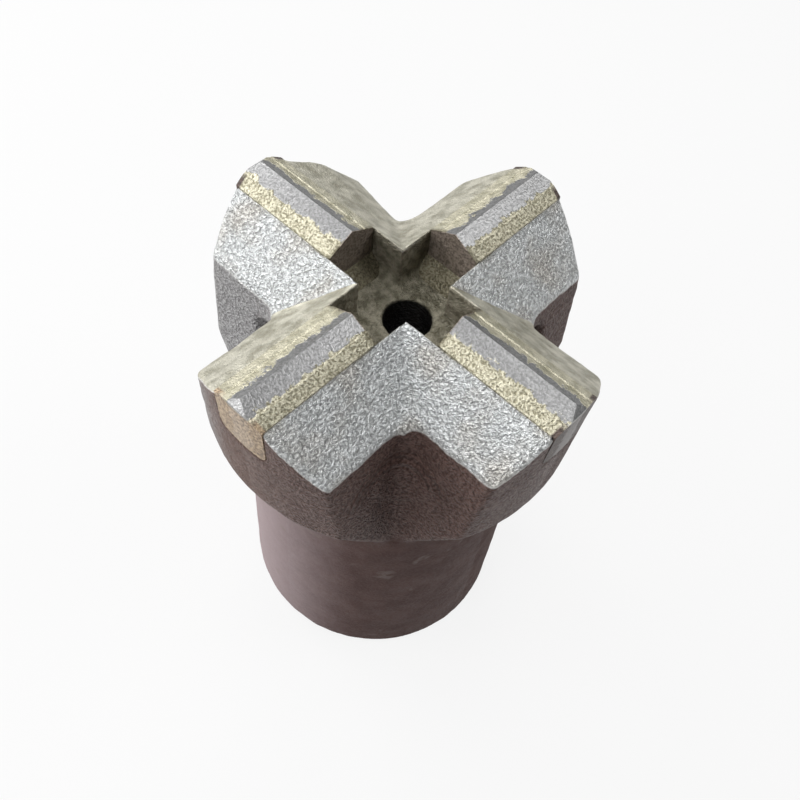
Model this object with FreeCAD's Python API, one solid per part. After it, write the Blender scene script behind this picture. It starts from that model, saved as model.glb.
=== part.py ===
import FreeCAD, Part
import math
import os

# Four-wing cross bit for rock drilling, standing on its skirt, axis on +Z.
# Wings lie along X and Y, flutes between them. All sizes in mm.
V = FreeCAD.Vector

# Driving dimensions
gauge_r = 25.75           # drilled radius over the gauge faces
body_h = 70.5             # skirt end face up to the slot edges
slope_deg = 41.1          # wing slopes, measured from level
wing_half = 10.45         # half thickness of a wing at the foot of its slopes
flute_draft_deg = 7.5     # draft of the flute walls
flute_corner_r = 2.5      # concave corner along each flute
gauge_h = 18.9            # slot edge level down to the gauge rim
rim_r = 25.2              # gauge radius at the rim
taper_h = 9.6             # rim down to the skirt
skirt_top_r = 20.3
skirt_bottom_r = 21.2
skirt_chamfer = 1.0
slot_w = 7.5              # insert slot
slot_depth = 6.4
slot_corner_r = 1.2
rim_round = 1.0
neck_round = 3.0
edge_blunt = 0.3          # small flats where the forging's edges are worn

socket_r = 16.0           # rope thread, outer radius
socket_h = 40.0
socket_cone_r = 13.0      # drilled end above the thread
socket_chamfer = 1.0
flush_r = 3.1             # main flushing hole
flush_off_x = 0.7         # the hole sits a little off the slots' crossing
flush_off_y = 0.5
flute_off = [(0.7, 0.5), (0.5, 1.0), (0.2, 0.0), (0.35, 0.3)]  # forging mismatch, each flute
flare_deg = 8.0           # the -X wing thickens outwards on its +Y side
side_hole_r = 2.75        # flushing holes in two of the flutes
side_hole_drop = 12.0     # below the slot edges, at the flute corner
side_hole_deg = 30.0      # rise of the hole towards the flute
pad_r = 3.2               # forged drilling pad in the other two flutes
pad_drop = 15.8
pad_deg = 45.0
pad_raise = 0.25

ridge_h = 2.0             # insert ridge above the slot edges
insert_inner = 8.7        # inner end face of each insert from the axis
insert_bevel = 0.9        # outer end of the ridge
braze_gap = 0.15          # filler between insert and slot, every side
seam_w = 1.7              # band of filler lying on the insert's slope
seam_raise = 0.12
seam_toe = 0.3            # width over which the band thins out at its upper edge
seam_lap = 0.3            # the band reaches this far down into the slot's lining
seam_bite = 0.02          # and this far under the insert's slope
fillet_leg = 2.2          # filler ramp at the insert's inner end

# Derived
slot_half = slot_w / 2.0
slope = math.tan(math.radians(slope_deg))
draft = math.tan(math.radians(flute_draft_deg))
slope_foot_z = body_h - slope * (wing_half - slot_half)
floor_z = body_h - slot_depth
rim_z = body_h - gauge_h
neck_z = rim_z - taper_h
top_z = body_h + ridge_h
far = gauge_r + 20.0      # past every outer face
insert_half = slot_half - braze_gap
ridge_slope = ridge_h / slot_half


def turn(points):
    # solid of revolution from (radius, height) points
    wire = Part.makePolygon([V(r, 0, z) for r, z in points + points[:1]])
    return Part.Face(wire).revolve(V(0, 0, 0), V(0, 0, 1), 360)


def prism(points, start, length):
    # (across, height) profile run along X from start
    wire = Part.makePolygon([V(start, a, z) for a, z in points + points[:1]])
    return Part.Face(wire).extrude(V(length, 0, 0))


def turned(shape, deg):
    out = shape.copy()
    out.rotate(V(0, 0, 0), V(0, 0, 1), deg)
    return out


def half_thickness(z):
    return wing_half + draft * (slope_foot_z - z)


def half_space(offset):
    # everything beyond a drafted wing side that faces +X
    box = Part.makeBox(4 * far, 8 * far, 8 * far, V(0, -4 * far, -4 * far))
    box.rotate(V(0, 0, 0), V(0, 1, 0), -flute_draft_deg)
    box.translate(V(wing_half + offset, 0, slope_foot_z))
    return box


def flute(offset, flare):
    # wedge between two wings in the +X +Y quarter, its corner rounded
    low = neck_z - 15.0
    side = half_space(offset)
    side.rotate(V(wing_half + offset, wing_half + offset, 0), V(0, 0, 1), -flare)
    wedge = side.common(turned(half_space(offset), 90))
    wedge = wedge.common(Part.makeBox(2 * far, 2 * far, top_z + 2.0 - low, V(0, 0, low)))
    corner = [edge for edge in wedge.Edges
              if edge.Length > 10.0 and all(max(v.X, v.Y) < gauge_r for v in edge.Vertexes)]
    return wedge.makeFillet(flute_corner_r, corner)


def flute_corner(z):
    # distance of the rounded flute corner from the bit's axis
    return half_thickness(z) * math.sqrt(2.0) + flute_corner_r * (math.sqrt(2.0) - 1.0)


def diagonal_rod(r, drop, deg, inner, outer):
    # cylinder in the +X +Y diagonal plane, rising outwards, through the flute corner
    z = body_h - drop
    rho = flute_corner(z)
    run = V(math.cos(math.radians(deg)) / math.sqrt(2.0),
            math.cos(math.radians(deg)) / math.sqrt(2.0), math.sin(math.radians(deg)))
    mid = V(rho / math.sqrt(2.0), rho / math.sqrt(2.0), z)
    return Part.makeCylinder(r, inner + outer, mid - run * inner, run)


def turn_rounded(points, rounds):
    # solid of revolution, with a radius at the profile points named in rounds
    count = len(points)
    spots = [V(r, 0, z) for r, z in points]
    bends = []
    for i, spot in enumerate(spots):
        radius = rounds.get(i, 0)
        if not radius:
            bends.append((spot, None, spot))
            continue
        back = (spots[i - 1] - spot).normalize()
        ahead = (spots[(i + 1) % count] - spot).normalize()
        half = math.acos(back.dot(ahead)) / 2.0
        reach = radius / math.tan(half)
        inward = (back + ahead).normalize()
        middle = spot + inward * (radius / math.sin(half) - radius)
        bends.append((spot + back * reach, middle, spot + ahead * reach))
    edges = []
    for i, (first, middle, last) in enumerate(bends):
        if middle is not None:
            edges.append(Part.Arc(first, middle, last).toShape())
        edges.append(Part.LineSegment(last, bends[(i + 1) % count][0]).toShape())
    return Part.Face(Part.Wire(edges)).revolve(V(0, 0, 0), V(0, 0, 1), 360)


def blank():
    # skirt, taper under the head and gauge, before the wings are formed
    profile = [(0, 0), (skirt_bottom_r - skirt_chamfer, 0), (skirt_bottom_r, skirt_chamfer),
               (skirt_top_r, neck_z), (rim_r, rim_z), (gauge_r, body_h), (0, body_h)]
    return turn_rounded(profile, {3: neck_round, 4: rim_round})


def roofs():
    # the wing pairs' roofs, crossing at the axis
    fall = body_h - slope * (far - slot_half)
    base = -10.0
    side = [(slot_half, body_h), (far, fall), (far, base), (-far, base), (-far, fall),
            (-slot_half, body_h)]
    one = prism(side, -far, 2 * far)
    return one.fuse(turned(one, 90))


def slot_run():
    # one insert slot right across the head, its floor corners rounded
    high = top_z + 1.0
    box = Part.makeBox(2 * far, slot_w, high - floor_z, V(-far, -slot_half, floor_z))
    long_edges = []
    for edge in box.Edges:
        bb = edge.BoundBox
        if bb.XLength > far and bb.ZMax < floor_z + 0.01:
            long_edges.append(edge)
    return box.makeFillet(slot_corner_r, long_edges)


def socket():
    cone_h = socket_cone_r * math.tan(math.radians(31.0))
    return turn([(0, -1), (socket_r + socket_chamfer + 1.0, -1), (socket_r, socket_chamfer),
                 (socket_r, socket_h), (socket_cone_r, socket_h), (0, socket_h + cone_h)])


def off_gauge(point):
    # distance of a point from the gauge surface, measured level
    at_height = rim_r + (gauge_r - rim_r) * (point.z - rim_z) / gauge_h
    return abs(math.hypot(point.x, point.y) - at_height)


def blunt(body):
    # small flats on the forging's outer edges: gauge corners and gauge tops, which
    # start and end on the gauge, climb it, and stay clear of the slots
    picked = []
    for edge in body.Edges:
        mid = edge.CenterOfMass
        clear = min(abs(mid.x), abs(mid.y)) > slot_half + edge_blunt
        on_gauge = all(off_gauge(v.Point) < edge_blunt / 10.0 for v in edge.Vertexes)
        if clear and on_gauge and edge.BoundBox.ZLength > slope * edge_blunt:
            picked.append(edge)
    return body.makeChamfer(edge_blunt, picked)


def shifted(shape, x, y):
    out = shape.copy()
    out.translate(V(x, y, 0))
    return out


def make_body():
    body = blank().common(roofs())
    pad = diagonal_rod(pad_r, pad_drop, pad_deg, 12.0, 12.0)
    for i, (x, y) in enumerate(flute_off):
        flare = flare_deg if i == 1 else 0.0
        cutter = flute(0.0, flare)
        if i % 2:
            cutter = cutter.cut(pad).fuse(flute(pad_raise, flare))
        body = body.cut(shifted(turned(cutter, 90 * i), x, y))
    body = blunt(body)
    slot = slot_run()
    body = body.cut(slot).cut(turned(slot, 90))
    body = body.cut(socket())
    drill = Part.makeCylinder(flush_r, floor_z - socket_h + 4.0,
                              V(flush_off_x, flush_off_y, socket_h + 1.0))
    body = body.cut(drill)
    inner = flute_corner(body_h - side_hole_drop) / math.cos(math.radians(side_hole_deg))
    side = diagonal_rod(side_hole_r, side_hole_drop, side_hole_deg, inner, 12.0)
    for i in (0, 2):
        body = body.cut(shifted(turned(side, 90 * i), *flute_off[i]))
    return body


def insert_section(lift, half):
    # roof-topped bar, parallel to the slot's profile
    low = floor_z + lift
    shoulder = body_h + ridge_h - ridge_slope * half
    c = slot_corner_r
    return [(half - c, low), (half, low + c), (half, shoulder), (0, body_h + ridge_h),
            (-half, shoulder), (-half, low + c), (-half + c, low)]


def gauge_round():
    return turn([(0, 0), (rim_r, 0), (rim_r, rim_z), (gauge_r, body_h), (gauge_r, top_z + 5),
                 (0, top_z + 5)])


def make_insert():
    bar = prism(insert_section(braze_gap, insert_half), insert_inner, far)
    bar = bar.common(gauge_round())
    b = insert_bevel
    x0 = gauge_r - b
    cut = Part.makePolygon([V(x0, -far, top_z + 0.01), V(x0, -far, top_z + 9),
                            V(x0 + 9, -far, top_z + 9), V(x0 + 9, -far, top_z - 9),
                            V(x0, -far, top_z + 0.01)])
    return bar.cut(Part.Face(cut).extrude(V(0, 2 * far, 0)))


def make_braze(insert):
    # filler: slot lining, the bands on the slopes and the ramp at the inner end
    start = V(insert_inner, -slot_half, floor_z)
    parts = slot_run().common(Part.makeBox(far, slot_w, slot_depth, start))
    parts = parts.common(gauge_round())
    foot = slot_half
    toe = slot_half - seam_w
    body_side = body_h + seam_bite
    thick = toe + seam_toe
    base = body_h - seam_lap
    for s in (1, -1):
        band = [(s * foot, base), (s * foot, body_side),
                (s * thick, top_z - ridge_slope * thick + seam_raise),
                (s * toe, top_z - ridge_slope * toe - seam_bite), (s * toe, base)]
        parts = parts.fuse(prism(band, insert_inner, far).common(gauge_round()))
    leg = fillet_leg
    ramp = [start, start - V(leg, 0, 0), start + V(0, 0, leg), start]
    ramp = Part.Face(Part.makePolygon(ramp)).extrude(V(0, slot_w, 0)).common(slot_run())
    parts = parts.fuse(ramp)
    return parts.cut(insert).removeSplitter()


def save(shape, name):
    solids = shape.Solids
    shape = solids[0] if len(solids) == 1 else Part.makeCompound(solids)
    print(name, "solids", len(solids), "volume %.1f" % shape.Volume, "valid", shape.isValid())
    shape.exportStep("parts/" + name + ".step")


os.makedirs("parts", exist_ok=True)
save(make_body(), "bit_body")
bar = make_insert()
seam = make_braze(bar)
for n in range(4):
    save(turned(bar, 90 * n), "carbide_insert_%d" % (n + 1))
    save(turned(seam, 90 * n), "braze_seam_%d" % (n + 1))
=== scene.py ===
import math

import bpy
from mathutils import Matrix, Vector


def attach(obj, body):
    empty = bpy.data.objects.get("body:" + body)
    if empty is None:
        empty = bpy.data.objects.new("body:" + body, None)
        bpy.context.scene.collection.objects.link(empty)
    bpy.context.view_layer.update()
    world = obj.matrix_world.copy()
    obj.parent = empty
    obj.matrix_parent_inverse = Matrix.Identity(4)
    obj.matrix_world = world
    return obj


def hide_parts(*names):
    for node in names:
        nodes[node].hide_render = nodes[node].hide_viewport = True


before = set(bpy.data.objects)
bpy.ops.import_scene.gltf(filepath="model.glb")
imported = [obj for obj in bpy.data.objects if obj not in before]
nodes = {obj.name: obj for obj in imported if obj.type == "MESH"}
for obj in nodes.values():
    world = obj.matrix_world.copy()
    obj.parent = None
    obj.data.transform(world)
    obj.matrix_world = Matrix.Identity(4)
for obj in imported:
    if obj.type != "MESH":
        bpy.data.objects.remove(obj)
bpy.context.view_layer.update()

# ---------------------------------------------------------------- table, lamps and camera
# The bit stands on a plain pale table between six soft lamps. The low ones on
# the left are the strongest, so the right of the skirt falls into shade.
sky_strength = 0.06
sky_gloss = 0.05
table_tone = 0.55
table_glow = 0.86
table_size = 6.0
aim_height = 0.05
lamp_size, lamp_distance = 0.28, 0.5
left, front = Vector((-0.727, -0.687, 0)), Vector((0.687, -0.727, 0))

world = bpy.data.worlds.new("studio")
bpy.context.scene.world = world
world.use_nodes = True
world.node_tree.nodes["Background"].inputs["Strength"].default_value = sky_strength

lamps = [
    # name, degrees from the front towards the left, degrees up, watts
    ("low_left", 90, 15, 1.75),
    ("back_left", 130, 40, 1.35),
    ("front_left", 50, 40, 0.88),
    ("back", 180, 45, 0.80),
    ("right", -90, 40, 0.94),
    ("top", 90, 85, 0.80),
]
for name, turn, rise, watts in lamps:
    turn, rise = math.radians(turn), math.radians(rise)
    away = (front * math.cos(turn) + left * math.sin(turn)) * math.cos(rise)
    away.z = math.sin(rise)
    light = bpy.data.lights.new(name, "AREA")
    light.shape = "DISK"
    light.size = lamp_size
    light.energy = watts
    lamp = bpy.data.objects.new(name, light)
    bpy.context.scene.collection.objects.link(lamp)
    lamp.location = Vector((0, 0, aim_height)) + away * lamp_distance
    lamp.rotation_euler = away.to_track_quat("Z", "Y").to_euler()

lens = bpy.data.cameras.new("camera")
lens.lens = 37.58
lens.sensor_width = 36.0
lens.clip_start = 0.005
camera = bpy.data.objects.new("camera", lens)
bpy.context.scene.collection.objects.link(camera)
camera.location = (0.039501, -0.050868, 0.145474)
camera.rotation_euler = [math.radians(a) for a in (32.527, -4.378, 43.414)]
bpy.context.scene.camera = camera
bpy.context.scene.view_settings.view_transform = "Standard"

bpy.ops.object.select_all(action="DESELECT")
bpy.ops.mesh.primitive_plane_add(size=table_size, location=(0, 0, 0))
table = bpy.context.object
table.name = "table"


class Tap:
    """A shader socket that can be reckoned with: each sign adds its Math node."""

    def __init__(self, tree, socket):
        self.tree = tree
        self.socket = socket

    def node(self, kind, settings, sockets, out=0):
        """Any node: its settings come first, then the values or links of its sockets."""
        made = self.tree.nodes.new("ShaderNode" + kind)
        for key, value in settings.items():
            setattr(made, key, value)
        for key, value in sockets.items():
            socket = made.inputs[key]
            if isinstance(value, Tap):
                self.tree.links.new(value.socket, socket)
            else:
                socket.default_value = value
        return Tap(self.tree, made.outputs[out])

    def reckon(self, operation, a, b=0.0):
        return self.node("Math", {"operation": operation}, {0: a, 1: b})

    def __add__(self, other):
        return self.reckon("ADD", self, other)

    def __radd__(self, other):
        return self.reckon("ADD", other, self)

    def __sub__(self, other):
        return self.reckon("SUBTRACT", self, other)

    def __rsub__(self, other):
        return self.reckon("SUBTRACT", other, self)

    def __mul__(self, other):
        return self.reckon("MULTIPLY", self, other)

    def __rmul__(self, other):
        return self.reckon("MULTIPLY", other, self)

    def step(self, low, high):
        """0 below low, 1 above high, smooth between; high may be the lower one."""
        return self.node("MapRange", {"interpolation_type": "SMOOTHSTEP"},
                         {"Value": self, "From Min": low, "From Max": high})

    def low_of(self, other):
        return self.reckon("MINIMUM", self, other)

    def high_of(self, other):
        return self.reckon("MAXIMUM", self, other)

    def size(self):
        return self.reckon("ABSOLUTE", self)

    def tone(self, first, second):
        """Colour that goes from first to second as this goes from 0 to 1."""
        first, second = (c if isinstance(c, Tap) else (*c, 1) for c in (first, second))
        return self.node("Mix", {"data_type": "RGBA"}, {0: self, 6: first, 7: second}, 2)

    def noise(self, place, scale, detail=2.0, rough=0.5, warp=0.0):
        return self.node("TexNoise", {}, {"Vector": place, "Scale": scale, "Detail": detail,
                                          "Roughness": rough, "Distortion": warp})


def start(name, **constants):
    """A material, its shader and a Tap that reads the piece's own millimetres."""
    made = bpy.data.materials.new(name)
    made.use_nodes = True
    tree = made.node_tree
    shader = tree.nodes["Principled BSDF"]
    for key, value in constants.items():
        shader.inputs[key.replace("_", " ")].default_value = value
    place = Tap(tree, None).node("TexCoord", {}, {}, "Object")
    mm = place.node("Mapping", {}, {"Vector": place, "Scale": (1000, 1000, 1000)})
    return made, shader, mm


def feed(shader, **links):
    """Links what changes over the surface to the shader's sockets, by their names."""
    for key, tap in links.items():
        tap.tree.links.new(tap.socket, shader.inputs[key.replace("_", " ")])


def rays(tap):
    """1 for what the camera sees, and 1 for what gloss reflects."""
    seen = tap.node("LightPath", {}, {}, "Is Camera Ray")
    return seen, Tap(seen.tree, seen.socket.node.outputs["Is Glossy Ray"])


# the sky is white to the camera and nearly dark to the steel
sky = Tap(world.node_tree, world.node_tree.nodes["Background"].outputs[0])
white_sky = sky.node("Background", {}, {"Color": (1.0, 1.0, 1.0, 1.0), "Strength": 1.0})
seen, glossy = rays(sky)
both = sky.node("MixShader", {}, {0: seen.high_of(glossy * sky_gloss), 1: sky, 2: white_sky})
sky.tree.links.new(both.socket, world.node_tree.nodes["World Output"].inputs[0])

# the table is nearly white to the camera and to gloss, and still takes the shadow
table_top, shader, mm = start("table", Roughness=0.9, Specular_IOR_Level=0.0,
                              Base_Color=(table_tone, table_tone, table_tone, 1))
glow = mm.node("Emission", {}, {"Strength": 1.0})
seen, glossy = rays(mm)
both = mm.node("MixShader", {}, {0: seen.high_of(glossy) * table_glow,
                                 1: Tap(mm.tree, shader.outputs[0]), 2: glow})
mm.tree.links.new(both.socket, mm.tree.nodes["Material Output"].inputs["Surface"])
table.data.materials.append(table_top)

# ---------------------------------------------------------------- forged body
# One steel forging: four roof-shaped wings, V flutes and a turned skirt. The
# forging is shot-blasted, so its edges are soft and its skin is grainy; the
# slopes are bright, the gauge, flutes and skirt keep a brown film.
weld = 0.000002
voxel = 0.00032
soften_rounds, worn_rounds = 3, 22
dent_size, dent_depth = 0.0035, 0.00022
kept_faces = 0.5
fuller_out, fuller_up = 0.0010, 0.0009
lip_shift = 0.00034
# in millimetres: the slots' upper edges, the slopes' fall and feet, the dish, the
# neck, the flushing holes and the drilling marks in the front flute
edge_z, slot_half, roof_fall = 70.5, 3.75, 0.8724
foot_across, foot_z = 10.45, 64.65
dish_r, dish_z = 12.5, 64.0
neck_z = 42.0
hole_x, hole_y, hole_r = 0.7, 0.5, 3.1
socket_r, socket_top = 16.6, 50.0
drilled_x, drilled_y, drilled_z = 13.6, -14.4, 54.0
left_part = 0.707

forging = bpy.data.objects.new("forging", nodes["bit_body"].data.copy())
bpy.context.scene.collection.objects.link(forging)
bpy.ops.object.select_all(action="DESELECT")
forging.select_set(True)
bpy.context.view_layer.objects.active = forging
bpy.ops.object.mode_set(mode="EDIT")
bpy.ops.mesh.select_all(action="SELECT")
bpy.ops.mesh.remove_doubles(threshold=weld)
bpy.ops.object.mode_set(mode="OBJECT")
skin = forging.modifiers.new("skin", "REMESH")
skin.mode = "VOXEL"
skin.voxel_size = voxel
bpy.ops.object.modifier_apply(modifier="skin")

# the slopes' feet are worn round everywhere but in the front flute, and the -X wing
# was forged a little full at its outer end
worn = forging.vertex_groups.new(name="worn")
for point in forging.data.vertices:
    px, py, pz = point.co * 1000
    wide, long = sorted((abs(px), abs(py)))
    if pz > 58.0 and px - py < 9.0:
        near_foot = 1.0 - max(abs(wide - foot_across) - 1.2, 0.0) / 1.6
        near_foot = min(near_foot, 1.0 - max(abs(pz - foot_z) - 1.5, 0.0) / 1.5)
        if near_foot > 0:
            worn.add([point.index], near_foot, "REPLACE")
    if px < -10.0 and py > 0.5 and pz > 50.0 and long > 10.0:
        out = min((-px - 10.0) / 14.0, 1.0) * min((pz - 50.0) / 10.0, 1.0)
        side = min(max(py - 4.6, 0.0) / 4.0, 1.0)
        point.co.y += fuller_out * out * side
        point.co.z += fuller_up * out * side * min((pz - 50.0) / 10.0, 1.0)
soft = forging.modifiers.new("soft", "SMOOTH")
soft.factor = 0.5
soft.iterations = soften_rounds
round_off = forging.modifiers.new("round_off", "SMOOTH")
round_off.factor = 0.5
round_off.iterations = worn_rounds
round_off.vertex_group = "worn"
dents = bpy.data.textures.new("dents", "CLOUDS")
dents.noise_scale = dent_size
dents.noise_depth = 2
uneven = forging.modifiers.new("uneven", "DISPLACE")
uneven.texture = dents
uneven.texture_coords = "LOCAL"
uneven.strength = dent_depth
uneven.mid_level = 0.5
thin = forging.modifiers.new("thin", "DECIMATE")
thin.ratio = kept_faces
for name in ("soft", "round_off", "uneven", "thin"):
    bpy.ops.object.modifier_apply(modifier=name)
# the slot's lips are closed up to the filler, and nothing stands below the base
for point in forging.data.vertices:
    px, py, pz = point.co * 1000
    wide, long = sorted((abs(px), abs(py)))
    below_roof = edge_z - max(wide - slot_half, 0.0) * roof_fall - pz
    lip = max(1.0 - abs(wide - 3.95) / 0.6, 0.0) * min(max(1.0 - below_roof, 0.0), 1.0)
    if lip > 0 and 9.2 < long < 25.0:
        if abs(px) < abs(py):
            point.co.x -= math.copysign(lip_shift * lip, px)
        else:
            point.co.y -= math.copysign(lip_shift * lip, py)
    point.co.z = max(point.co.z, 0.0)
bpy.ops.object.shade_smooth()


def zones(mm):
    """Where a point lies on the bit, in millimetres: its place, how far across and along
    its wing, its distance from the axis, and 1 on the side of a wing that faces +Y or -X."""
    split = mm.node("SeparateXYZ", {}, {"Vector": mm}).socket.node
    x, y, z = (Tap(mm.tree, split.outputs[i]) for i in range(3))
    across, along = x.size().low_of(y.size()), x.size().high_of(y.size())
    radius = mm.reckon("SQRT", x * x + y * y)
    on_x_wing = (x.size() - y.size()).step(-0.02, 0.02)
    far_side = on_x_wing * y.step(-0.02, 0.02) + (1 - on_x_wing) * x.step(0.02, -0.02)
    return x, y, z, across, along, radius, far_side


steel, shader, mm = start("forged_steel", Specular_IOR_Level=0.12)
x, y, z, across, along, radius, far_side = zones(mm)
wander = mm.noise(mm, 0.9, 3.0) - 0.5
roof = edge_z - (across - slot_half).high_of(0.0) * roof_fall
outside_slot = (across - slot_half).step(-0.1, 0.1)
slopes = (z - roof + wander * 0.5).step(-0.75, -0.30) * outside_slot
# painted highlight: a bright line along the edges where the slopes meet the sides
painted_edge_highlight = slopes * (1 - slopes) * 4.0 * outside_slot
inside = (across - slot_half).step(0.25, -0.05) * (radius - dish_r).step(1.0, -1.0)
inside = inside * z.step(45.0, 46.0)
skirt = (z - neck_z).step(1.6, -0.6)
# painted shade: the flushing hole and the inside of the socket are painted nearly black
dx, dy = x - hole_x, y - hole_y
bore = (mm.reckon("SQRT", dx * dx + dy * dy) - hole_r).step(0.35, 0.0)
bore = bore * (z - dish_z).step(0.3, -0.4)
bore = bore.high_of((radius - socket_r).step(0.3, -0.3) * (z - socket_top).step(1, -1))
# distance towards the left, where the low lamp stands: it carries the painted light below
painted_light_leftward = (x + y) * -left_part
# painted light: towards -X the walls are painted light grey in place of the brown film, for
# the light on that side
painted_lit_side = (x + wander * 9.0).step(-2.0, -15.0) * (1 - inside)

grain = mm.noise(mm, 2.7, 1.2, 0.5, 0.5)
fine = mm.noise(mm, 6.5, 1.0, 0.5)
pits = grain.step(0.34, 0.64)
glint = fine.step(0.60, 0.70)

silver = pits.tone((0.38, 0.39, 0.39), (0.65, 0.665, 0.67))
tinted = pits.tone((0.31, 0.30, 0.28), (0.60, 0.585, 0.555))
silver = mm.noise(mm, 0.16, 2.0).step(0.45, 0.7).tone(silver, tinted)
# painted light: the slopes that face +Y or -X are painted a warmer beige, for how the light
# falls on them
far_slope_painted_light = mm.noise(mm, 0.5, 3.0).step(0.3, 0.7)
far_slope_painted_light = far_slope_painted_light.tone((0.33, 0.315, 0.25), (0.58, 0.56, 0.475))
silver = far_side.tone(silver, far_slope_painted_light)
# the painted highlight, nearly white, along the slopes' edges
silver = (painted_edge_highlight * 0.8).tone(silver, (0.80, 0.80, 0.78))
brown = pits.tone((0.068, 0.038, 0.032), (0.150, 0.092, 0.078))
brown = (glint * (1 - skirt) * 0.4).tone(brown, (0.30, 0.26, 0.24))
# painted light: the brown is painted lighter on the far left
brown = (painted_light_leftward.step(12.0, 19.0) * 0.5).tone(brown, (0.17, 0.115, 0.095))
# the painted light grey of the walls towards -X
painted_lit_wall = pits.tone((0.20, 0.195, 0.195), (0.36, 0.355, 0.355))
brown = painted_lit_side.tone(brown, painted_lit_wall)
mauve = mm.noise(mm, 0.22, 3.0).step(0.35, 0.7)
mauve = mauve.tone((0.072, 0.036, 0.031), (0.098, 0.056, 0.049))
# painted light: the skirt is painted lighter towards the left and stays dark towards the
# right
mauve = (painted_light_leftward + wander * 3.0).step(3.0, 20.0).tone(mauve, (0.30, 0.24, 0.245))
smudge = mm.noise(mm, 0.30, 2.0).step(0.66, 0.74) * 0.4
mauve = smudge.tone(mauve, (0.22, 0.18, 0.16))
olive = mm.noise(mm, 0.9, 3.0).step(0.3, 0.7)
olive = olive.tone((0.13, 0.12, 0.085), (0.31, 0.29, 0.225))
colour = slopes.tone(brown, silver)
colour = inside.tone(colour, olive)
colour = skirt.tone(colour, mauve)
# the holes take their painted shade
colour = bore.tone(colour, (0.012, 0.011, 0.010))
rough = 0.36 + (1 - pits) * 0.12 + skirt * 0.2 + far_side * 0.1
dx, dy, dz = x - drilled_x, y - drilled_y, z - drilled_z
swirl = mm.reckon("SQRT", dx * dx + dy * dy + dz * dz)
arcs = mm.reckon("SINE", swirl * 5.2) * swirl.step(4.0, 4.6) * swirl.step(7.4, 6.6)
arcs = arcs * dz.step(1.0, 2.5) * (1 - slopes)
height = (grain + fine * 0.3 + arcs * 0.5) * (1 - skirt * 0.88)
height = height * (1 - far_side * slopes * 0.6) * (1 - inside * 0.2)
bump = mm.node("Bump", {}, {"Height": height, "Distance": 0.00052, "Strength": 1.0})
metal = 0.12 + slopes * 0.73 + inside * 0.25 - skirt * 0.1
feed(shader, Base_Color=colour, Roughness=rough, Metallic=metal, Normal=bump)
forging.data.materials.clear()
forging.data.materials.append(steel)
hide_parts("bit_body")
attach(forging, "root")

# ---------------------------------------------------------------- carbide inserts
# Four sintered tungsten-carbide bars with ground roof-shaped tops, brazed into
# the slots. Brass has crept up their slopes in ragged bands; on the sides that face
# +Y or -X it is smoother, and its tone there is painted light.
insert_end = 8.72
film_r, film_z = 25.1, 71.0


def brass_skin(mm, grit, far_side, along, radius, x, y, z):
    """Colour of the filler: speckled brass, a tone of painted light on the far sides,
    darker at the inner ends, and browned on the gauge, where the -Y wing keeps a gold tint."""
    bright = grit.tone((0.20, 0.185, 0.125), (0.58, 0.55, 0.43))
    streaks = mm.node("CombineXYZ", {}, {"X": x, "Y": y})
    # painted light: on the far sides the brass takes a smoother, plainer tone, for how the
    # light falls there
    far_side_painted_light = mm.noise(streaks, 0.8, 3.0).step(0.3, 0.7)
    far_side_painted_light = far_side_painted_light.tone((0.36, 0.34, 0.25), (0.58, 0.55, 0.43))
    skin = far_side.tone(bright, far_side_painted_light)
    # the brass is darker at the inner ends
    inner_end_dark = grit.tone((0.09, 0.08, 0.05), (0.22, 0.20, 0.14))
    skin = (along - 9.0).step(0.5, -0.4).tone(skin, inner_end_dark)
    gold = grit.tone((0.13, 0.085, 0.055), (0.50, 0.38, 0.25))
    dark = grit.tone((0.035, 0.024, 0.02), (0.10, 0.07, 0.058))
    gauge = y.step(-18.0, -22.0).tone(dark, gold)
    return ((radius - film_r).step(-0.1, 0.2) * (z - film_z).step(0.6, 0.0)).tone(skin, gauge)


carbide, shader, mm = start("carbide")
x, y, z, across, along, radius, far_side = zones(mm)
ragged = (mm.noise(mm, 0.55, 3.0, 0.6) - 0.5) * 3.2
ragged = ragged + (mm.noise(mm, 3.0, 2.0) - 0.5) * 0.9
crept = (across + ragged + far_side * 0.75).step(1.75, 2.0)
grit = mm.noise(mm, 3.4, 1.5, 0.55, 0.4)
speck = grit.step(0.32, 0.66)
grey = speck.tone((0.22, 0.22, 0.22), (0.33, 0.33, 0.33))
end_face = (along - insert_end).step(0.12, 0.02)
skin = brass_skin(mm, speck, far_side, along, radius, x, y, z)
gauge = (radius - film_r).step(-0.1, 0.2) * (z - film_z).step(0.6, 0.0)
colour = crept.high_of(gauge).tone(grey, skin)
colour = end_face.tone(colour, speck.tone((0.13, 0.105, 0.085), (0.30, 0.25, 0.21)))
height = grit * (0.25 + crept * 0.75)
bump = mm.node("Bump", {}, {"Height": height, "Distance": 0.0002, "Strength": 0.8})
feed(shader, Base_Color=colour, Roughness=0.36 + crept * 0.12,
     Metallic=0.8 - end_face * 0.5 - gauge * 0.5, Normal=bump)

# The filler itself, below and beside each insert: the same brass all over.
filler, shader, mm = start("braze")
x, y, z, across, along, radius, far_side = zones(mm)
grit = mm.noise(mm, 3.4, 1.5, 0.55, 0.4)
speck = grit.step(0.32, 0.66)
colour = brass_skin(mm, speck, far_side, along, radius, x, y, z)
bump = mm.node("Bump", {}, {"Height": grit, "Distance": 0.00024, "Strength": 0.9})
gauge = (radius - film_r).step(-0.1, 0.2)
feed(shader, Base_Color=colour, Roughness=0.42 + speck * 0.1,
     Metallic=0.75 - gauge * 0.4, Normal=bump)

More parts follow.
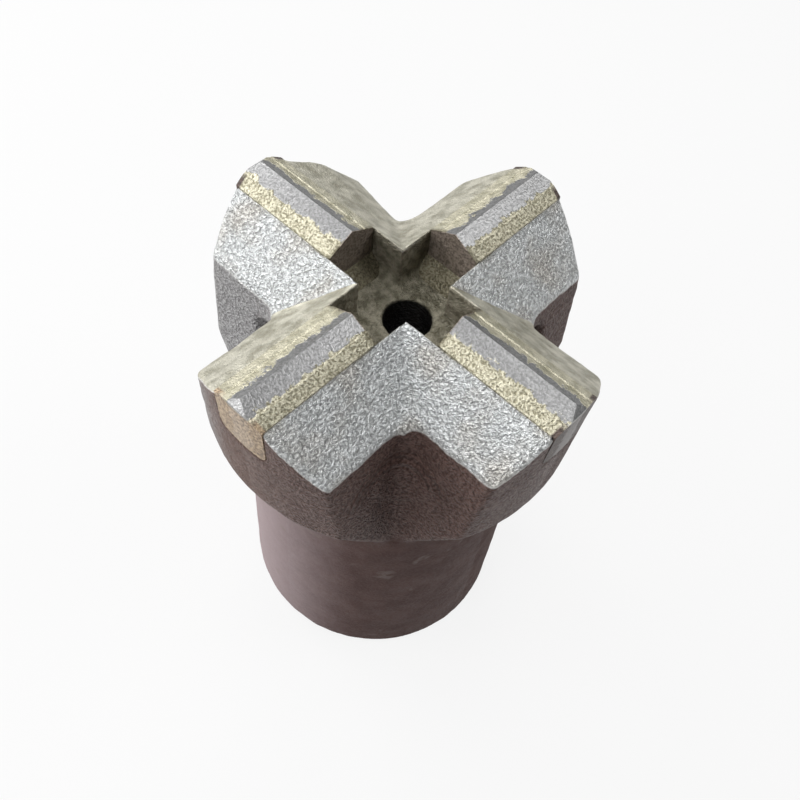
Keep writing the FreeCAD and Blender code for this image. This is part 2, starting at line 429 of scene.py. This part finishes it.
finishes = (("carbide_insert", carbide, "carbide"), ("braze_seam", filler, "braze"))
for n in range(1, 5):
    for kind, finish, slot in finishes:
        piece = nodes[f"{kind}_{n}"]
        piece.data.materials.clear()
        piece.data.materials.append(finish)

# ---------------------------------------------------------------- rope thread
# The socket's rounded rope thread for a 32 mm rod: a wave of 12.7 mm pitch that
# stands inward from the bore and stops short of both its ends.
bore_r, crest_r, pitch = 0.0160, 0.0144, 0.0127
thread_low, thread_high = 0.0012, 0.0392
wave_steps, round_steps, turns = 16, 48, 6
thread_gap, thread_skin, thread_weld = 0.00008, 0.00006, 0.00001

bpy.ops.object.select_all(action="DESELECT")
profile = bpy.data.meshes.new("rope_thread")
points = []
for i in range(wave_steps + 1):
    part = i / wave_steps
    lift = (bore_r - crest_r) * (0.5 - 0.5 * math.cos(2 * math.pi * part))
    points.append((bore_r - thread_gap - lift, 0, part * pitch - 2 * pitch))
profile.from_pydata(points, [(i, i + 1) for i in range(wave_steps)], [])
thread = bpy.data.objects.new("rope_thread", profile)
bpy.context.scene.collection.objects.link(thread)
thread.select_set(True)
bpy.context.view_layer.objects.active = thread
wind = thread.modifiers.new("wind", "SCREW")
wind.axis = "Z"
wind.angle = 2 * math.pi
wind.steps = round_steps
wind.render_steps = round_steps
wind.screw_offset = pitch
wind.iterations = turns
wind.use_merge_vertices = True
wind.merge_threshold = thread_weld
bpy.ops.object.modifier_apply(modifier="wind")
bpy.ops.object.mode_set(mode="EDIT")
bpy.ops.mesh.select_all(action="SELECT")
bpy.ops.mesh.remove_doubles(threshold=thread_weld)
for level, keep_up in ((thread_low, True), (thread_high, False)):
    bpy.ops.mesh.select_all(action="SELECT")
    bpy.ops.mesh.bisect(plane_co=(0, 0, level), plane_no=(0, 0, 1),
                        clear_inner=keep_up, clear_outer=not keep_up)
bpy.ops.object.mode_set(mode="OBJECT")
wall = thread.modifiers.new("wall", "SOLIDIFY")
wall.thickness = thread_skin
wall.offset = 1.0
bpy.ops.object.modifier_apply(modifier="wall")
bpy.ops.object.shade_smooth()
thread.data.materials.append(steel)
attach(thread, "root")
